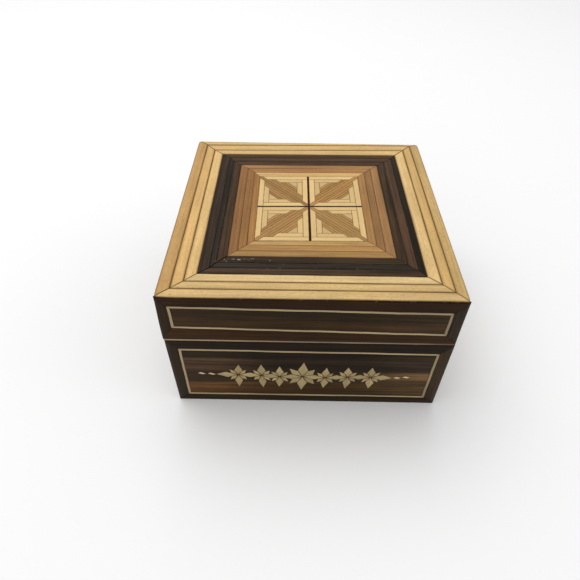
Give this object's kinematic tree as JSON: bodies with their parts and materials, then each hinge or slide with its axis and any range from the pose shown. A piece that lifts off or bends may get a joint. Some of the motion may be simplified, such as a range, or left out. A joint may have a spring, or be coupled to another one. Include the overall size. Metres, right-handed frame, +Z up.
{
  "type": "inlaid wooden box",
  "caption": "Square wooden trinket box with a rear-hinged lid: mitred frames of coloured wood strips round a marquetry panel on top, and a flower garland inlaid in dark side veneer.",
  "frame": {"origin": "centre of the underside", "axes": "+Z up, the front with the parting line's open side faces -Y, the hinges are at +Y"},
  "size_m": [0.11, 0.11, 0.065],
  "materials": {
    "carcase_wood": "matte",
    "border_rosewood": "satin varnish",
    "field_rosewood": "satin varnish",
    "garland_wood": "satin varnish",
    "stringing_wood": "satin varnish",
    "lipping_wood": "satin varnish",
    "tan_wood": "satin varnish",
    "dark_wood": "satin varnish",
    "brown_wood": "satin varnish",
    "leaf_wood": "satin varnish",
    "pale_wood": "satin varnish",
    "cross_wood": "satin varnish",
    "velvet": "pile",
    "hinge_brass": "lightly tarnished",
    "screw_brass": "lightly tarnished"
  },
  "bodies": {
    "base": {"base_back_board": "carcase_wood", "base_border_back": "border_rosewood", "base_border_front": "border_rosewood", "base_border_left": "border_rosewood", "base_border_right": "border_rosewood", "base_field_back": "field_rosewood", "base_field_front": "field_rosewood", "base_field_left": "field_rosewood", "base_field_right": "field_rosewood", "base_floor_board": "carcase_wood", "base_floor_lining": "velvet", "base_front_board": "carcase_wood", "base_garland_front": "garland_wood", "base_garland_left": "garland_wood", "base_garland_right": "garland_wood", "base_hinge_leaves": "hinge_brass", "base_hinge_screws": "screw_brass", "base_left_board": "carcase_wood", "base_right_board": "carcase_wood", "base_stringing": "stringing_wood", "base_wall_linings": "velvet", "hinge_pins": "hinge_brass"},
    "lid": {"lid_back_board": "carcase_wood", "lid_border_back": "border_rosewood", "lid_border_front": "border_rosewood", "lid_border_left": "border_rosewood", "lid_border_right": "border_rosewood", "lid_ceiling_lining": "velvet", "lid_field_back": "field_rosewood", "lid_field_front": "field_rosewood", "lid_field_left": "field_rosewood", "lid_field_right": "field_rosewood", "lid_front_board": "carcase_wood", "lid_hinge_leaves": "hinge_brass", "lid_hinge_screws": "screw_brass", "lid_left_board": "carcase_wood", "lid_right_board": "carcase_wood", "lid_rim_lipping": "lipping_wood", "lid_stringing": "stringing_wood", "lid_top_board": "carcase_wood", "lid_wall_linings": "velvet", "top_brown_inner": "brown_wood", "top_brown_middle": "brown_wood", "top_brown_outer": "brown_wood", "top_cross": "cross_wood", "top_dark_inner": "dark_wood", "top_dark_middle": "dark_wood", "top_dark_outer": "dark_wood", "top_leaf_bl": "leaf_wood", "top_leaf_br": "leaf_wood", "top_leaf_fl": "leaf_wood", "top_leaf_fr": "leaf_wood", "top_steps_bl": "pale_wood", "top_steps_br": "pale_wood", "top_steps_fl": "pale_wood", "top_steps_fr": "pale_wood", "top_tan_inner": "tan_wood", "top_tan_middle": "tan_wood", "top_tan_outer": "tan_wood"}
  },
  "joints": [
    {"name": "lid_hinge", "type": "hinge", "parent": "base", "child": "lid", "pos_m": [0, 0.053, 0.041], "axis": [-1, 0, 0], "range_deg": [0, 100]}
  ]
}
